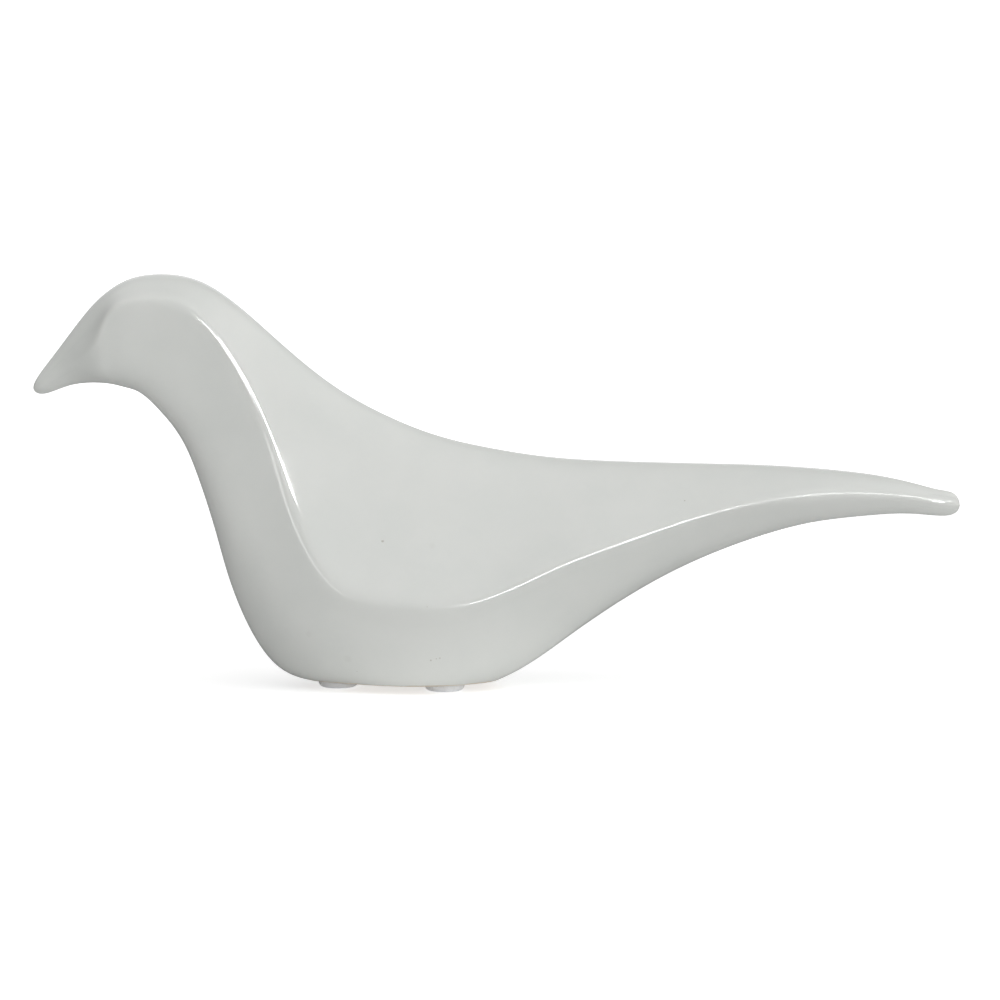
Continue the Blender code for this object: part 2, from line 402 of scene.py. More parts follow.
@dataclass(frozen=True, kw_only=True)
class BareClay(SpeckledFinish):
    """The unglazed clay of the underside and of the vent."""

    light: Colour = (0.66, 0.60, 0.51)
    dark: Colour = (0.58, 0.51, 0.42)
    speck: Colour = (0.25, 0.19, 0.14)
    roughness: float = 0.85
    specular: float = 0.25
    seed: float = 4.0
    patch_size: float = 0.012
    speck_spacing: float = 0.0022
    speck_size: float = 0.0004
    speck_share: float = 0.25
    speck_strength: float = 0.6
    grain_size: float = 0.0006
    grain_height: float = 0.00006

    def colour(self, paint: Paint) -> NodeSocket:
        """The clay's colour."""
        return self.speckled(paint, paint.mix(self.patches(paint), self.dark, self.light))

    def material(self) -> Material:
        """Makes the finish of the bare underside.

        Returns:
            The material.
        """
        paint = Paint.start("Bare clay")
        feeds = {"Base Color": self.colour(paint), "Roughness": self.roughness}
        paint.feed(paint.shader, feeds | {"Specular IOR Level": self.specular})
        paint.emboss(self.grain(paint))
        return paint.material


@dataclass(frozen=True, kw_only=True)
class WhiteGlaze(SpeckledFinish):
    """The glossy white glaze: a little green and grey, with a paler tint on sharp edges that is partly
    thinner glaze and partly painted highlight, and a darker tint in hollows that is partly pooled glaze
    and partly painted shade.
    """

    clay: BareClay
    white: Colour = (0.775, 0.795, 0.765)
    milky: Colour = (0.80, 0.815, 0.785)
    # paler, warmer tint on sharp edges: partly thinner glaze, partly painted highlight
    edge_glaze_and_highlight: Colour = (0.85, 0.83, 0.77)
    # darker, greener tint in hollows: partly pooled glaze, partly painted shade
    hollow_glaze_and_shade: Colour = (0.62, 0.665, 0.645)
    speck: Colour = (0.36, 0.32, 0.26)
    edge_glaze_and_highlight_share: float = 0.12
    hollow_glaze_and_shade_share: float = 0.5
    roughness: float = 0.065
    roughness_drift: float = 0.03
    coat: float = 0.25
    coat_roughness: float = 0.03
    seed: float = 1.0
    patch_size: float = 0.018
    speck_spacing: float = 0.011
    speck_size: float = 0.00045
    speck_share: float = 0.16
    speck_strength: float = 0.35
    grain_size: float = 0.0035
    grain_height: float = 0.000012
    glaze_edge: float = 0.0003
    glaze_edge_blend: float = 0.0002
    glaze_edge_waver: float = 0.0003
    waver_patch: float = 0.006
    waver_seed: float = 2.0

    def material(self, flaws: list[tuple[Flaw, Vector]]) -> Material:
        """Makes the glaze's finish.

        Args:
            flaws: Each flaw with its point on the surface.

        Returns:
            The material.
        """
        paint = Paint.start("White glaze")
        patches = self.patches(paint)
        marks, dents = self.flaw_masks(paint, flaws)
        bare = self.bare_edge(paint)
        drift = paint.math("MULTIPLY_ADD", patches, self.roughness_drift, self.roughness)
        rougher = self.clay.roughness - self.roughness
        feeds = {
            "Base Color": paint.mix(bare, self.colour(paint, patches, marks), self.clay.colour(paint)),
            "Roughness": paint.math("MULTIPLY_ADD", bare, rougher, drift),
            "Coat Weight": paint.math("MULTIPLY_ADD", bare, -self.coat, self.coat),
            "Coat Roughness": self.coat_roughness,
        }
        paint.feed(paint.shader, feeds)
        paint.emboss(paint.math("SUBTRACT", self.grain(paint), dents))
        return paint.material

    def colour(self, paint: Paint, patches: NodeSocket, marks: NodeSocket) -> NodeSocket:
        """Lays out the glaze's colour with its specks, its flaws, a paler edge tint that is thinner
        glaze and painted highlight, and a darker hollow tint that is pooled glaze and painted shade.

        Args:
            paint: The material's board.
            patches: The soft patches, from 0 to 1.
            marks: How dark each point is made by the flaws.

        Returns:
            The colour's socket.
        """
        colour = paint.mix(patches, self.white, self.milky)
        # the paler tint on sharp edges is partly painted highlight, and the darker tint in hollows is
        # partly painted shade
        edge_glaze_and_highlight = (THIN_GLAZE_AND_EDGE_HIGHLIGHT, self.edge_glaze_and_highlight_share, self.edge_glaze_and_highlight)
        for layer, share, tint in (edge_glaze_and_highlight, (POOLED_GLAZE_AND_HOLLOW_SHADE, self.hollow_glaze_and_shade_share, self.hollow_glaze_and_shade)):
            depth = paint.add("ShaderNodeAttribute", attribute_name=layer).outputs["Fac"]
            colour = paint.mix(paint.times(depth, share), colour, tint)
        return paint.mix(marks, self.speckled(paint, colour), self.speck)

    def bare_edge(self, paint: Paint) -> NodeSocket:
        """The line of bare clay just above the underside, where the glaze stops unevenly.

        Args:
            paint: The material's board.

        Returns:
            A mask, 1 on bare clay.
        """
        sizes = {"Patch_Size": self.waver_patch, "Seed": self.waver_seed}
        waver = paint.group(self.effects.cloud, Place=paint.place, **sizes)
        height = paint.add("ShaderNodeSeparateXYZ", {0: paint.place}).outputs["Z"]
        edge = paint.math("MULTIPLY_ADD", waver, -self.glaze_edge_waver, height)
        top = UNDERSIDE_Z + self.glaze_edge
        return paint.rest(paint.fade(edge, top - self.glaze_edge_blend, top))

    def flaw_masks(
        self, paint: Paint, flaws: list[tuple[Flaw, Vector]]
    ) -> tuple[NodeSocket, NodeSocket]:
        """Places every flaw.

        Args:
            paint: The material's board.
            flaws: Each flaw with its point on the surface.

        Returns:
            How dark each point is made, and how deep it is dented in metres.
        """
        marks: list[NodeSocket] = []
        dents: list[NodeSocket] = []
        for flaw, centre in flaws:
            sizes = {"Centre": tuple(centre), "Diameter": flaw.diameter}
            mask = paint.group(self.effects.mark, Place=paint.place, **sizes)
            marks.append(paint.times(mask, flaw.kind.darkness))
            dents.append(paint.times(mask, flaw.kind.dent))
        return paint.total(*marks), paint.total(*dents)


@dataclass(frozen=True, kw_only=True)
class ClearRubber(Finish):
    """The milky, see-through rubber of the bumper feet."""

    clear: Colour = (0.98, 0.99, 1.0)
    milky: Colour = (0.96, 0.98, 1.0)
    roughness: float = 0.22
    roughness_drift: float = 0.10
    transmission: float = 0.04
    refraction: float = 1.42
    seed: float = 7.0
    patch_size: float = 0.004
    grain_size: float = 0.0012
    grain_height: float = 0.00001

    def material(self) -> Material:
        """Makes the rubber's finish.

        Returns:
            The material.
        """
        paint = Paint.start("Clear rubber")
        patches = self.patches(paint)
        feeds = {
            "Base Color": paint.mix(patches, self.clear, self.milky),
            "Roughness": paint.math("MULTIPLY_ADD", patches, self.roughness_drift, self.roughness),
            "Transmission Weight": self.transmission,
            "IOR": self.refraction,
        }
        paint.feed(paint.shader, feeds)
        paint.emboss(self.grain(paint))
        return paint.material


class Form(NamedTuple):
    """The shape of a slice across the bird, as shares of the slice's depth and half width."""

    ridge: float  # half width of the rounding on top
    hollow: float  # how far the back dips in between the ridge and the crest
    bulge: float  # how far the flank bulges out between the crest and the lower corner
    corner_depth: float  # how far down the lower corner lies
    corner_width: float  # half width at the lower corner
    keel: float  # half width of the rounding below
    crest_round: float  # size of the rounding on the crest, as a share of the bird's width


class Rib(NamedTuple):
    """One slice of the bird, from its crown line on top to its keel line below.

    Places are shares of the bird's length, counted from the beak, and of its height, counted from
    the underside. The half width is a share of the bird's. The crest is the line where back and
    flank meet, as a share of the way from crown to keel.
    """

    crown: tuple[float, float]
    keel: tuple[float, float]
    half_width: float
    crest: float
    form: Form


BEAK = Form(0.45, 0.00, 0.00, 0.80, 0.80, 0.42, 0.090)
FACE = Form(0.40, 0.06, 0.00, 0.86, 0.92, 0.42, 0.085)
BROW = Form(0.40, 0.03, 0.00, 0.90, 0.92, 0.43, 0.050)
HEAD = Form(0.40, 0.00, 0.00, 0.92, 0.90, 0.44, 0.095)
NECK = Form(0.38, 0.00, 0.00, 0.91, 0.86, 0.42, 0.060)
BREAST = Form(0.29, 0.00, 0.02, 0.88, 0.76, 0.34, 0.110)
CHEST = Form(0.24, 0.00, 0.06, 0.925, 0.70, 0.28, 0.140)
BELLY = Form(0.23, 0.00, 0.08, 0.94, 0.67, 0.38, 0.120)
LOIN = Form(0.23, 0.00, 0.06, 0.885, 0.64, 0.25, 0.062)
RUMP = Form(0.24, 0.00, 0.02, 0.87, 0.68, 0.36, 0.055)
TAIL = Form(0.29, 0.00, 0.00, 0.82, 0.68, 0.40, 0.065)
TIP = Form(0.42, 0.00, 0.00, 0.80, 0.73, 0.45, 0.200)

BEAK_TIP = (0.0000, 0.7195)
TAIL_TIP = (1.0000, 0.4290)
RIBS = (
    Rib((0.0085, 0.7600), (0.0125, 0.7058), 0.085, 0.52, BEAK),
    Rib((0.0298, 0.8238), (0.0404, 0.7266), 0.160, 0.52, BEAK),
    Rib((0.0573, 0.9055), (0.0694, 0.7335), 0.340, 0.48, FACE),
    Rib((0.0792, 0.9550), (0.0865, 0.7300), 0.402, 0.245, BROW),
    Rib((0.1025, 0.9865), (0.1000, 0.7225), 0.425, 0.180, BROW),
    Rib((0.1345, 1.0000), (0.1170, 0.7075), 0.430, 0.17, HEAD),
    Rib((0.1778, 0.9850), (0.1375, 0.6635), 0.440, 0.175, HEAD),
    Rib((0.2229, 0.9197), (0.1606, 0.5925), 0.460, 0.247, NECK),
    Rib((0.2721, 0.8206), (0.1795, 0.4885), 0.505, 0.345, NECK),
    Rib((0.3256, 0.7234), (0.1974, 0.3575), 0.600, 0.464, NECK),
    Rib((0.3816, 0.6515), (0.2180, 0.2020), 0.735, 0.572, BREAST),
    Rib((0.4374, 0.6017), (0.2620, 0.0355), 0.885, 0.622, BREAST),
    Rib((0.4935, 0.5719), (0.3290, -0.0105), 0.985, 0.624, CHEST),
    Rib((0.5496, 0.5518), (0.4174, -0.0345), 1.000, 0.572, BELLY),
    Rib((0.6077, 0.5416), (0.5076, 0.0060), 0.935, 0.452, LOIN),
    Rib((0.6694, 0.5369), (0.5802, 0.1140), 0.820, 0.427, RUMP),
    Rib((0.7341, 0.5334), (0.6559, 0.2275), 0.665, 0.410, RUMP),
    Rib((0.8009, 0.5286), (0.7358, 0.3165), 0.500, 0.388, TAIL),
    Rib((0.8680, 0.5169), (0.8198, 0.3795), 0.350, 0.385, TIP),
    Rib((0.9180, 0.5015), (0.8830, 0.4020), 0.240, 0.410, TIP),
    Rib((0.9550, 0.4823), (0.9320, 0.4100), 0.160, 0.420, TIP),
    Rib((0.9780, 0.4690), (0.9650, 0.4066), 0.115, 0.430, TIP),
    Rib((0.9940, 0.4590), (0.9900, 0.4062), 0.078, 0.430, TIP),
)

FLAWS = (
    Flaw(Blemish.PINHOLE, -0.0355, 0.0483, 0.0009),
    Flaw(Blemish.SPECK, -0.0205, 0.0117, 0.0007),
    Flaw(Blemish.SPECK, -0.0188, 0.0122, 0.0005),
    Flaw(Blemish.SPECK, -0.0177, 0.0124, 0.0006),
    Flaw(Blemish.SMUDGE, -0.0464, 0.0118, 0.0030),
    Flaw(Blemish.SMUDGE, -0.0584, 0.0195, 0.0022),
    Flaw(Blemish.SMUDGE, -0.0201, 0.0468, 0.0022),
    Flaw(Blemish.SPECK, 0.0584, 0.0603, 0.0006),
)


def closed_spline(points: np.ndarray) -> np.ndarray:
    """Fits a smooth closed curve.

    Args:
        points: The points that the curve passes through, in order.

    Returns:
        The control points of the curve, one for each point.
    """
    points = np.asarray(points, float)
    turns = 2 * np.pi * np.arange(len(points)) / len(points)
    damping = (2 + np.cos(turns)) / 3
    return np.fft.ifft(np.fft.fft(points, axis=0) / damping[:, None], axis=0).real


def along_spline(controls: np.ndarray, steps: np.ndarray) -> np.ndarray:
    """Walks along a closed B-spline.

    Args:
        controls: The curve's control points.
        steps: Places on the curve, counted in control points.

    Returns:
        The curve's points at those places.
    """
    start = np.floor(steps).astype(int)
    f = steps - start
    shares = ((1 - f) ** 3, 3 * f**3 - 6 * f**2 + 4, -3 * f**3 + 3 * f**2 + 3 * f + 1, f**3)
    return sum(
        share[:, None] / 6 * controls[(start + k - 1) % len(controls)] for k, share in enumerate(shares)
    )


def between(a: np.ndarray, b: np.ndarray, share: float | np.ndarray) -> np.ndarray:
    """The points that lie this share of the way from a to b."""
    return a + (b - a) * share


def rounded(corner: np.ndarray, neighbour: np.ndarray, size: np.ndarray) -> np.ndarray:
    """The point that rounds off a corner of each slice by this size, towards its neighbour."""
    reach = np.linalg.norm(neighbour - corner, axis=-1, keepdims=True)
    return between(corner, neighbour, size / (reach + size))


@dataclass(frozen=True)
class Surface:
    """Where the bird's slices lie: crown and keel points, half widths and the other traits."""

    crown: np.ndarray
    keel: np.ndarray
    half_width: np.ndarray
    traits: np.ndarray


@dataclass
class BirdBody:
    """The ceramic bird: one cast and glazed piece with a bare, flat underside."""

    length: float = 0.2903
    width: float = 0.060
    height: float = 0.1275
    ring_count: int = 300
    ring_evenness: float = 0.65
    tip_ring_count: int = 14
    points_per_span: int = 9
    back_middle: float = 0.45
    flank_middle: float = 0.55
    ridge_round: float = 0.18
    vent_diameter: float = 0.0050
    vent_depth: float = 0.0050
    vent_chamfer: float = 0.0003
    vent_sides: int = 48
    unevenness: float = 0.00004
    uneven_patch: float = 0.014
    tip_inset: float = 0.00003
    even_height: float = 0.004
    uneven_seed: float = 3.0
    # how sharp a bend brings in the paler edge tint (painted highlight and thinner glaze) and the darker
    # hollow tint (painted shade and pooled glaze)
    edge_glaze_and_highlight_from_bend: float = 90.0
    edge_glaze_and_highlight_bend_range: float = 300.0
    hollow_glaze_and_shade_bend_range: float = 150.0
    samples_per_rib: int = 40

    def surface(self, places: np.ndarray) -> Surface:
        """Runs the ribs round as one closed loop, so that both tips come out rounded.

        Args:
            places: Where the slices lie, counted in ribs from the beak tip.

        Returns:
            The slices' lines and traits.
        """
        crown = [rib.crown for rib in RIBS]
        keel = [rib.keel for rib in RIBS]
        outline = closed_spline([BEAK_TIP, *crown, TAIL_TIP, *keel[::-1]]) * (self.length, self.height)
        widths = [rib.half_width for rib in RIBS]
        mirrored = [-width for width in reversed(widths)]
        breadth = closed_spline(np.array([0.0, *widths, 0.0, *mirrored])[:, None])
        traits = [[rib.crest, *rib.form] for rib in (RIBS[0], *RIBS, RIBS[-1])]
        shape = closed_spline([*traits, *traits[-2:0:-1]])
        return Surface(
            along_spline(outline, places),
            along_spline(outline, -places),
            along_spline(breadth, places)[:, 0] * self.width / 2,
            along_spline(shape, places),
        )

    def ring_places(self) -> np.ndarray:
        """Spaces the rings, closer together towards both tips.

        Returns:
            Where the rings lie, counted in ribs from the beak tip.
        """
        last = len(RIBS) + 1
        near_beak = (np.arange(1, self.tip_ring_count + 1) / self.tip_ring_count) ** 2
        near_tail = last - near_beak[::-1]
        places = np.linspace(near_beak[-1], near_tail[0], self.samples_per_rib * last)
        surface = self.surface(places)
        steps = np.linalg.norm(np.diff(surface.crown + surface.keel, axis=0), axis=1)
        run = np.append(0, np.cumsum(steps)) / steps.sum()
        crowded = (places - places[0]) / (places[-1] - places[0])
        spread = self.ring_evenness * run + (1 - self.ring_evenness) * crowded
        inner = np.interp(np.arange(1, self.ring_count) / self.ring_count, spread, places)
        return np.concatenate([near_beak, inner, near_tail])

    def side_of_slice(self, depth: np.ndarray, surface: Surface) -> np.ndarray:
        """Places the control points of one side of each slice, from crown to keel.

        Args:
            depth: How deep each slice is.
            surface: The slices' half widths and traits.

        Returns:
            Pairs of depth and width.
        """
        crest, ridge, hollow, bulge, corner_depth, corner_width, keel, crest_round = surface.traits.T
        half_width = surface.half_width
        nothing = np.zeros_like(depth)

        def spot(down: np.ndarray, out: np.ndarray) -> np.ndarray:
            """Pairs of depth and width."""
            return np.stack([down, out], axis=-1)

        rise = self.ridge_round * ridge * crest * depth
        ridge_edge = spot(2 * rise, ridge * half_width)
        crest_line = spot(crest * depth, half_width)
        corner = spot(corner_depth * depth, corner_width * half_width)
        size = crest_round[:, None] * self.width
        side = [
            spot(-rise, nothing),
            ridge_edge,
            between(ridge_edge, crest_line, self.back_middle) - spot(nothing, hollow * half_width),
            rounded(crest_line, ridge_edge, size),
            crest_line,
            rounded(crest_line, corner, size),
            between(crest_line, corner, self.flank_middle) + spot(nothing, bulge * half_width),
            corner,
            spot(depth, keel * half_width),
            spot(depth, nothing),
        ]
        return np.stack(side, axis=1)

    def rings(self) -> np.ndarray:
        """Works out the whole surface.

        Returns:
            A ring of points for each slice, from beak to tail.
        """
        surface = self.surface(self.ring_places())
        down = surface.keel - surface.crown
        depth = np.linalg.norm(down, axis=1)
        side = self.side_of_slice(depth, surface)
        controls = np.concatenate([side, side[:, -2:0:-1] * (1, -1)], axis=1)
        steps = np.arange(controls.shape[1] * self.points_per_span) / self.points_per_span
        found = []
        for start, way, slice_controls in zip(surface.crown, down / depth[:, None], controls):
            points = along_spline(slice_controls, steps)
            x, z = start[:, None] + way[:, None] * points[:, 0]
            found.append(np.stack([x, points[:, 1], z], axis=1))
        return np.array(found)

    def fit_to_size(self, points: np.ndarray) -> np.ndarray:
        """Stretches the points so that the bird has its named length, width and height.

        Args:
            points: Points of the surface.

        Returns:
            The same points in the part's frame.
        """
        low, high = points.min(axis=0), points.max(axis=0)
        length = self.length - 2 * self.tip_inset
        x = (points[:, 0] - (low[0] + high[0]) / 2) * length / (high[0] - low[0])
        y = points[:, 1] * self.width / (high[1] - low[1])
        z = points[:, 2] * self.height / high[2] + UNDERSIDE_Z
        return np.stack([x, y, z], axis=-1)

    def skin(self) -> bmesh.types.BMesh:
        """Makes the closed skin of the whole figure.

        Returns:
            The skin, before its underside is cut flat.
        """
        last = float(len(RIBS) + 1)
        tips = self.surface(np.array([0.0, last])).crown
        rings = self.rings()
        count, around = rings.shape[:2]
        ends = np.stack([tips[:, 0], np.zeros(2), tips[:, 1]], axis=1)
        points = self.fit_to_size(np.concatenate([ends[:1], rings.reshape(-1, 3), ends[1:]]))
        bm = bmesh.new()
        verts = [bm.verts.new(point) for point in points]
        beak, tail = verts[0], verts[-1]
        hoops = [verts[1 + i * around : 1 + (i + 1) * around] for i in range(count)]
        for k in range(around):
            bm.faces.new((beak, hoops[0][k], hoops[0][k - 1]))
            bm.faces.new((tail, hoops[-1][k - 1], hoops[-1][k]))
            for near, far in zip(hoops, hoops[1:]):
                bm.faces.new((near[k - 1], near[k], far[k], far[k - 1]))
        return bm

    def close_underside(self, bm: bmesh.types.BMesh) -> None:
        """Cuts the bird flat below and closes it, with the vent of the casting in the middle.

        Args:
            bm: The skin.
        """
        bmesh.ops.bisect_plane(
            bm,
            geom=[*bm.verts, *bm.edges, *bm.faces],
            plane_co=(0, 0, UNDERSIDE_Z),
            plane_no=(0, 0, 1),
            clear_inner=True,
        )
        rim = [edge for edge in bm.edges if edge.is_boundary]
        along = [vert.co.x for edge in rim for vert in edge.verts]
        middle = (min(along) + max(along)) / 2
        radius = self.vent_diameter / 2
        mouth = bmesh.ops.create_circle(
            bm,
            segments=self.vent_sides,
            radius=radius + self.vent_chamfer,
            matrix=Matrix.Translation((middle, 0, UNDERSIDE_Z)),
        )["verts"]
        loop = list(dict.fromkeys(edge for vert in mouth for edge in vert.link_edges))
        bmesh.ops.triangle_fill(bm, edges=[*rim, *loop], use_beauty=True)
        for edge in (*rim, *loop):
            edge.smooth = False
        narrower = radius / (radius + self.vent_chamfer)
        for rise, shrink in ((self.vent_chamfer, narrower), (self.vent_depth, 1.0)):
            made = bmesh.ops.extrude_edge_only(bm, edges=loop)["geom"]
            ring = {item for item in made if isinstance(item, bmesh.types.BMVert)}
            for vert in ring:
                vert.co.x = middle + (vert.co.x - middle) * shrink
                vert.co.y *= shrink
                vert.co.z = UNDERSIDE_Z + rise
            edges = [item for item in made if isinstance(item, bmesh.types.BMEdge)]
            loop = [edge for edge in edges if ring.issuperset(edge.verts)]
        bmesh.ops.contextual_create(bm, geom=loop)
        for edge in loop:
            edge.smooth = False
        bmesh.ops.recalc_face_normals(bm, faces=bm.faces)
        vent = Vector((middle, 0, UNDERSIDE_Z))
        for face in bm.faces:
            face.smooth = True
            in_vent = max((vert.co - vent).length for vert in face.verts) < self.vent_depth + radius
            flat = max(vert.co.z for vert in face.verts) < UNDERSIDE_Z + HAIR
            face.material_index = int(flat or in_vent)

    def glaze_depth_and_painted_light(self, mesh: Mesh) -> None:
        """Stores the paler tint on sharp edges, which is partly thinner glaze and partly painted
        highlight, and the darker tint in hollows, which is partly pooled glaze and partly painted shade.

        Args:
            mesh: The finished mesh.
        """
        points = np.empty(3 * len(mesh.vertices), np.float32)
        normals = np.empty_like(points)
        mesh.vertices.foreach_get("co", points)
        mesh.vertex_normals.foreach_get("vector", normals)
        points, normals = points.reshape(-1, 3), normals.reshape(-1, 3)
        pairs = np.empty(2 * len(mesh.edges), np.int32)
        mesh.edges.foreach_get("vertices", pairs)
        a, b = pairs.reshape(-1, 2).T
        step = points[b] - points[a]
        squared = np.maximum((step**2).sum(axis=1), HAIR**2)
        bend = [sign * (normals[end] * step).sum(axis=1) / squared for end, sign in ((a, -2), (b, 2))]
        ends = np.concatenate([a, b])
        count = np.maximum(np.bincount(ends, minlength=len(points)), 1)
        mean = np.bincount(ends, np.concatenate(bend), minlength=len(points)) / count
        edge_glaze_and_highlight = (mean - self.edge_glaze_and_highlight_from_bend) / self.edge_glaze_and_highlight_bend_range
        for name, values in ((THIN_GLAZE_AND_EDGE_HIGHLIGHT, edge_glaze_and_highlight), (POOLED_GLAZE_AND_HOLLOW_SHADE, -mean / self.hollow_glaze_and_shade_bend_range)):
            layer = mesh.attributes.new(name, "FLOAT", "POINT")
            layer.data.foreach_set("value", np.clip(values, 0, 1).astype(np.float32))

    def uneven_tree(self) -> NodeTree:
        """The tree that gives the cast surface the slight unevenness of a hand-finished mould.

        Returns:
            The Geometry Nodes tree.
        """
        sizes = {
            "Unevenness": self.unevenness,
            "Patch Size": self.uneven_patch,
            "Base Height": UNDERSIDE_Z,
            "Even Height": self.even_height,
            "Seed": self.uneven_seed,
        }
        inputs = [Input(name, value=value) for name, value in sizes.items()]
        group = Group.of_mesh("Hand-finished casting", *inputs, Input("Glaze", "Material"))
        place = group.add("GeometryNodeInputPosition").outputs[0]
        scale = group.math("DIVIDE", 1.0, group["Patch Size"])
        feeds = {"Vector": place, "W": group["Seed"], "Scale": scale, "Detail": 1.0}
        noise = group.add("ShaderNodeTexNoise", feeds, noise_dimensions="4D").outputs[0]
        height = group.add("ShaderNodeSeparateXYZ", {0: place}).outputs["Z"]
        above = group.math("SUBTRACT", height, group["Base Height"])
        cast = group.times(group.fade(above, 0.0, group["Even Height"]), group["Unevenness"])
        inward = group.times(group.times(noise, cast), -1.0)
        normal = group.add("GeometryNodeInputNormal").outputs[0]
        push = group.add("ShaderNodeVectorMath", {0: normal, "Scale": inward}, operation="SCALE")
        feeds = {"Geometry": group["Geometry"], "Offset": push.outputs[0]}
        moved = group.add("GeometryNodeSetPosition", feeds).outputs[0]
        index = group.add("GeometryNodeInputMaterialIndex").outputs[0]
        feeds = {2: index, 3: 0}
        glazed = group.add("FunctionNodeCompare", feeds, data_type="INT", operation="EQUAL")
        return group.dress(moved, group["Glaze"], glazed.outputs[0])

    def build(self, glaze: WhiteGlaze, clay: BareClay) -> Object:
        """Makes the bird and gives it its finishes.

        Args:
            glaze: The finish of the whole figure.
            clay: The finish of its underside.

        Returns:
            The finished piece.
        """
        bm = self.skin()
        self.close_underside(bm)
        draft = to_object("glazed_bird", bm)
        bare = clay.material()
        glossy = glaze.material([(flaw, self.point_on_flank(draft, flaw)) for flaw in FLAWS])
        for finish in (glossy, bare):
            draft.data.materials.append(finish)
        bird = apply_tree(draft, self.uneven_tree(), {"Glaze": glossy})
        self.glaze_depth_and_painted_light(bird.data)
        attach(bird, BODY)
        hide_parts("bird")
        return bird

    @staticmethod
    def point_on_flank(bird: Object, flaw: Flaw) -> Vector:
        """The flaw's point on the left side of the bird."""
        return bird.ray_cast((flaw.x, -1.0, flaw.z), (0.0, 1.0, 0.0))[1]


@dataclass
class BumperFeet:
    """The three stick-on feet: round pads that taper to a smaller sole, each on its adhesive disc."""

    diameter: float = 0.0127
    sole_diameter: float = 0.0090
    thickness: float = 0.0022
    disc_diameter: float = 0.0122
    disc_thickness: float = 0.00029
    sides: int = 72
    steps: int = 10
    sharp_degrees: float = 40.0
    nodes: tuple[str, ...] = ("foot_pad_front", "foot_pad_rear_left", "foot_pad_rear_right")

    def tree(self) -> NodeTree:
        """The tree that turns one pad's profile round and sets a pad at each point.

        The profile has five parts: the sole, the curved side, the step in to the disc, the disc's
        side and the disc's top. A grid is bent along them in one direction and round in the other.

        Returns:
            The Geometry Nodes tree.
        """
        sizes = {
            "Diameter": self.diameter,
            "Sole Diameter": self.sole_diameter,
            "Thickness": self.thickness,
            "Disc Diameter": self.disc_diameter,
            "Disc Thickness": self.disc_thickness,
        }
        inputs = [Input(name, value=value) for name, value in sizes.items()]
        inputs += [Input("Sides", "Int", self.sides), Input("Steps", "Int", self.steps)]
        group = Group.of_mesh("Bumper feet", *inputs, Input("Rubber", "Material"))
        wide = [group[name] for name in ("Diameter", "Sole Diameter", "Disc Diameter")]
        rim, sole, disc = (group.math("DIVIDE", diameter, 2.0) for diameter in wide)
        parts = 5
        feeds = {
            "Size X": 1.0,
            "Size Y": 1.0,
            "Vertices X": group.math("MULTIPLY_ADD", group["Steps"], float(parts), 1.0),
            "Vertices Y": group.math("ADD", group["Sides"], 1.0),
        }
        sheet = group.add("GeometryNodeMeshGrid", feeds).outputs["Mesh"]
        place = group.add("GeometryNodeInputPosition").outputs[0]
        place = group.add("ShaderNodeSeparateXYZ", {0: place}).outputs
        walk = group.math("MULTIPLY_ADD", place["X"], float(parts), parts / 2)
        turn = group.times(place["Y"], 2 * pi)
        done = [group.math("SUBTRACT", walk, float(k), clamp=True) for k in range(parts)]
        swing = group.times(done[1], pi / 2)
        widen = group.times(group.math("SUBTRACT", rim, sole), group.math("SINE", swing))
        narrow = group.times(group.math("SUBTRACT", disc, rim), done[2])
        inward = group.times(group.times(disc, done[4]), -1.0)
        radius = group.total(group.times(sole, done[0]), widen, narrow, inward)
        rise = group.times(group.rest(group.math("COSINE", swing)), group["Thickness"])
        spot = {
            "X": group.times(radius, group.math("COSINE", turn)),
            "Y": group.times(radius, group.math("SINE", turn)),
            "Z": group.math("ADD", rise, group.times(done[3], group["Disc Thickness"])),
        }
        feeds = {"Geometry": sheet, "Position": group.add("ShaderNodeCombineXYZ", spot).outputs[0]}
        pad = group.add("GeometryNodeSetPosition", feeds).outputs[0]
        pad = group.add("GeometryNodeMergeByDistance", {"Geometry": pad, "Distance": HAIR}).outputs[0]
        feeds = {"Points": group["Geometry"], "Instance": pad}
        copies = group.add("GeometryNodeInstanceOnPoints", feeds).outputs[0]
        return group.dress(copies, group["Rubber"])

    def build(self, rubber: ClearRubber) -> Object:
        """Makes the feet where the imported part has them.

        Args:
            rubber: Their finish.

        Returns:
            The finished piece.
        """
        bm = bmesh.new()
        for node in self.nodes:
            low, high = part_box(node)
            middle = (low + high) / 2
            bm.verts.new((middle.x, middle.y, low.z))
        draft = to_object("bumper_feet", bm)
        feet = apply_tree(draft, self.tree(), {"Rubber": rubber.material()})
        bm = bmesh.new()
        bm.from_mesh(feet.data)
        bmesh.ops.recalc_face_normals(bm, faces=bm.faces)
        bm.to_mesh(feet.data)
        bm.free()
        feet.data.shade_smooth()
        feet.data.set_sharp_from_angle(angle=radians(self.sharp_degrees))
        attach(feet, BODY)
        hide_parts(*self.nodes)
        return feet


def in_scene(name: str, data: bpy.types.ID) -> Object:
    """Puts a new object in the scene.

    Args:
        name: The object's name.
        data: Its mesh, lamp or camera.

    Returns:
        The object.
    """
    obj = bpy.data.objects.new(name, data)
    bpy.context.scene.collection.objects.link(obj)
    return obj


def to_object(name: str, bm: bmesh.types.BMesh) -> Object:
    """Turns a bmesh into an object of the scene.

    Args:
        name: The object's name.
        bm: The mesh, which is freed.

    Returns:
        The object.
    """
    mesh = bpy.data.meshes.new(name)
    bm.to_mesh(mesh)
    bm.free()
    return in_scene(name, mesh)


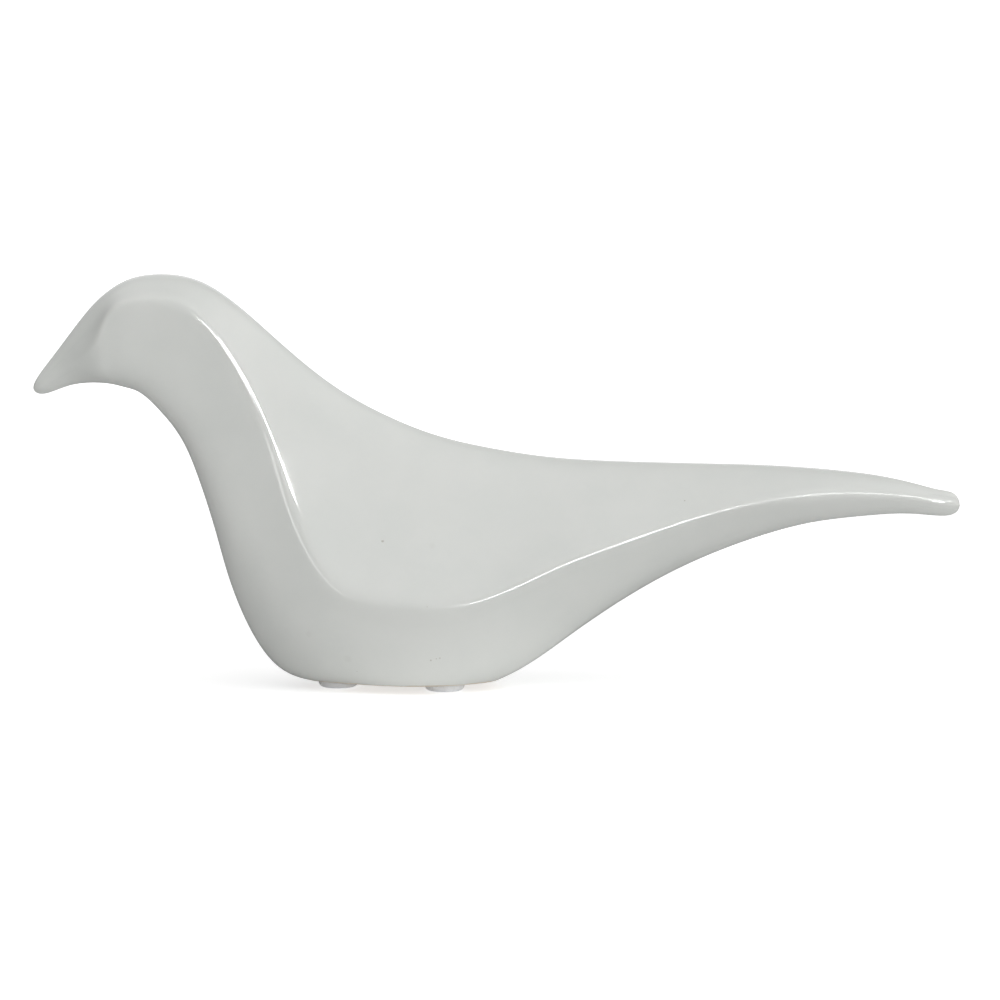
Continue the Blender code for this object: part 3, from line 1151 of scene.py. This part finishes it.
def apply_tree(draft: Object, tree: NodeTree, materials: dict[str, Material]) -> Object:
    """Runs a Geometry Nodes tree on an object and keeps the result as a plain mesh.

    Args:
        draft: The object that goes in, which is removed.
        tree: The tree.
        materials: The materials that its named inputs get.

    Returns:
        A new object with the draft's name.
    """
    modifier = draft.modifiers.new(tree.name, "NODES")
    modifier.node_group = tree
    for item in tree.interface.items_tree:
        if item.in_out == "INPUT" and item.name in materials:
            modifier[item.identifier] = materials[item.name]
    bpy.context.view_layer.update()
    shown = draft.evaluated_get(bpy.context.evaluated_depsgraph_get())
    mesh = bpy.data.meshes.new_from_object(shown)
    name = draft.name
    draft.modifiers.remove(modifier)
    bpy.data.objects.remove(draft)
    mesh.name = name
    return in_scene(name, mesh)


def direction(azimuth: float, elevation: float) -> Vector:
    """The unit vector to a place so many degrees round from -Y towards +X, and so many degrees up."""
    a, e = radians(azimuth), radians(elevation)
    return Vector((sin(a) * cos(e), -cos(a) * cos(e), sin(e)))


def aim_from(obj: Object, way: Vector, distance: float, aim: Vector) -> None:
    """Moves a lamp or camera this far from its aim, in this direction, and turns it to face the aim."""
    obj.location = aim + way * distance
    obj.rotation_euler = (-way).to_track_quat("-Z", "Y").to_euler()


@dataclass(frozen=True)
class Softbox:
    """A small rectangular light that only shows as a highlight on glossy things, angles in degrees."""

    name: str
    azimuth: float
    elevation: float
    distance: float
    width: float
    height: float
    brightness: float

    def place(self, aim: Vector) -> None:
        """Sets up the light.

        Args:
            aim: The point that it shines at.
        """
        data = bpy.data.lights.new(self.name, "AREA")
        data.shape = "RECTANGLE"
        data.size = self.width
        data.size_y = self.height
        data.energy = pi * self.width * self.height * self.brightness
        lamp = in_scene(self.name, data)
        lamp.visible_diffuse = False
        aim_from(lamp, direction(self.azimuth, self.elevation), self.distance, aim)


@dataclass(frozen=True)
class Glow:
    """A broad, soft patch of light in the room, brightest towards one direction, angles in degrees."""

    azimuth: float
    elevation: float
    sharpness: float
    strength: float
    only_mirrored: bool = False

    def brightness(self, board: Board, towards: NodeSocket, mirrored: NodeSocket) -> NodeSocket:
        """Lays out how bright the patch is.

        Args:
            board: The room's node tree.
            towards: The direction that is looked in.
            mirrored: 1 where the room is seen in glossy things.

        Returns:
            The brightness's socket.
        """
        way = tuple(direction(self.azimuth, self.elevation))
        facing = board.math("MAXIMUM", board.measure("DOT_PRODUCT", towards, way), 0.0)
        strength = board.times(board.math("POWER", facing, self.sharpness), self.strength)
        return board.times(strength, mirrored) if self.only_mirrored else strength


@dataclass(frozen=True)
class Studio:
    """The plain pale floor, the soft lights and the camera.

    Each fade is the pair of distances at which it starts and ends.
    """

    camera_aim: tuple[float, float, float] = (0.00094, 0.0, 0.0590)
    camera_elevation: float = 6.0
    camera_distance: float = 1.8
    picture_width: float = 0.3136
    sensor_width: float = 36.0
    nearest_seen: float = 0.01
    lamp_aim: tuple[float, float, float] = (0.0, 0.0, 0.06)
    floor_size: float = 30.0
    floor_roughness: float = 0.7
    floor_grey: float = 0.76
    # the floor's grey where the glaze mirrors it, darker than the floor and darkest on the left: painted
    # shade in the bird's reflections
    floor_mirrored_grey: float = 0.45
    floor_mirrored_left: float = 0.38
    left_fade: tuple[float, float] = (0.08, 0.16)
    floor_white_near: float = 0.6
    floor_white_far: float = 0.85
    far_fade: tuple[float, float] = (0.3, 1.6)
    floor_bounce: float = 0.2
    bounce_middle: float = -0.010
    bounce_fade: tuple[float, float] = (0.035, 0.065)
    glows: tuple[Glow, ...] = (
        Glow(5, 20, 4, 0.77),
        Glow(60, 25, 4, 0.59),
        Glow(100, 25, 4, 0.95),
        Glow(0, 60, 6, 0.62),
        Glow(-80, 60, 6, 0.81),
        Glow(-140, 50, 6, 0.9, only_mirrored=True),
        Glow(180, 8, 7, 1.0, only_mirrored=True),
    )
    softboxes: tuple[Softbox, ...] = (
        Softbox("long low lamp", 13.5, 8, 1.4, 0.72, 0.24, 32),
        Softbox("right lamp", 36.5, 22.3, 1.4, 0.40, 0.09, 18),
        Softbox("middle lamp", 23.5, 21.6, 1.4, 0.24, 0.11, 44),
        Softbox("dim front panel", 14, 15.5, 1.4, 0.60, 0.12, 2.2),
        Softbox("dim left panel", -26, 7, 1.4, 0.30, 0.09, 3),
    )

    def build(self) -> None:
        """Sets up everything round the bird."""
        self.build_floor()
        self.light_room()
        for softbox in self.softboxes:
            softbox.place(Vector(self.lamp_aim))
        lens = bpy.data.cameras.new("camera")
        lens.sensor_width = self.sensor_width
        lens.lens = self.sensor_width * self.camera_distance / self.picture_width
        lens.clip_start = self.nearest_seen
        camera = in_scene("camera", lens)
        way = direction(0.0, self.camera_elevation)
        aim_from(camera, way, self.camera_distance, Vector(self.camera_aim))
        bpy.context.scene.camera = camera
        bpy.context.scene.view_settings.view_transform = "Standard"

    def build_floor(self) -> None:
        """Makes the pale floor, which turns white with distance."""
        bm = bmesh.new()
        bmesh.ops.create_grid(bm, x_segments=2, y_segments=2, size=self.floor_size / 2)
        floor = to_object("floor", bm)
        paint = Paint.start("Pale floor")
        glossy = paint.add("ShaderNodeLightPath").outputs["Is Glossy Ray"]
        along = paint.add("ShaderNodeSeparateXYZ", {0: paint.place}).outputs["X"]
        # in reflections the floor is painted darker, most of all on the left, as painted shade on the
        # bird
        left = paint.fade(paint.times(along, -1.0), *self.left_fade)
        drop = self.floor_mirrored_left - self.floor_mirrored_grey
        mirrored = paint.math("MULTIPLY_ADD", left, drop, self.floor_mirrored_grey - self.floor_grey)
        far = paint.fade(paint.measure("LENGTH", paint.place), *self.far_fade)
        rise = self.floor_white_far - self.floor_white_near
        white = paint.math("MULTIPLY_ADD", far, rise, self.floor_white_near)
        seen = seen_rays(paint)
        off = paint.measure("DISTANCE", paint.place, (self.bounce_middle, 0.0, 0.0))
        under_bird = paint.rest(paint.fade(off, *self.bounce_fade))
        bounce = paint.times(paint.times(paint.rest(seen), under_bird), self.floor_bounce)
        feeds = {
            "Base Color": paint.math("MULTIPLY_ADD", glossy, mirrored, self.floor_grey),
            "Roughness": self.floor_roughness,
            "Emission Color": WHITE,
            "Emission Strength": paint.math("ADD", paint.times(white, seen), bounce),
        }
        paint.feed(paint.shader, feeds)
        floor.data.materials.append(paint.material)

    def light_room(self) -> None:
        """Fills the room with soft light in front of a white background."""
        world = bpy.data.worlds.new("studio room")
        world.use_nodes = True
        board = Board(world.node_tree)
        towards = board.add("ShaderNodeTexCoord").outputs["Generated"]
        mirrored = board.add("ShaderNodeLightPath").outputs["Is Glossy Ray"]
        glow = board.total(*(glow.brightness(board, towards, mirrored) for glow in self.glows))
        seen = seen_rays(board)
        strength = board.math("ADD", board.times(glow, board.rest(seen)), seen)
        board.feed(world.node_tree.nodes["Background"], {"Color": WHITE, "Strength": strength})
        bpy.context.scene.world = world


def seen_rays(board: Board) -> NodeSocket:
    """A mask, 1 on rays that the camera sees, straight or through clear rubber, and 0 on the others."""
    path = board.add("ShaderNodeLightPath")
    return board.math("MAXIMUM", path.outputs["Is Camera Ray"], path.outputs["Is Transmission Ray"])


def main() -> None:
    """Builds the finished bird, its feet and the studio round them."""
    logging.basicConfig(level=logging.INFO, format="%(name)s: %(message)s")
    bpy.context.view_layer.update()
    effects = SurfaceEffects.build()
    clay = BareClay(effects=effects)
    pieces = [
        BirdBody().build(WhiteGlaze(effects=effects, clay=clay), clay),
        BumperFeet().build(ClearRubber(effects=effects)),
    ]
    for piece in pieces:
        log.info("%s has %d faces", piece.name, len(piece.data.polygons))
    Studio().build()
    log.info("studio is set up")


if __name__ == "__main__":
    main()
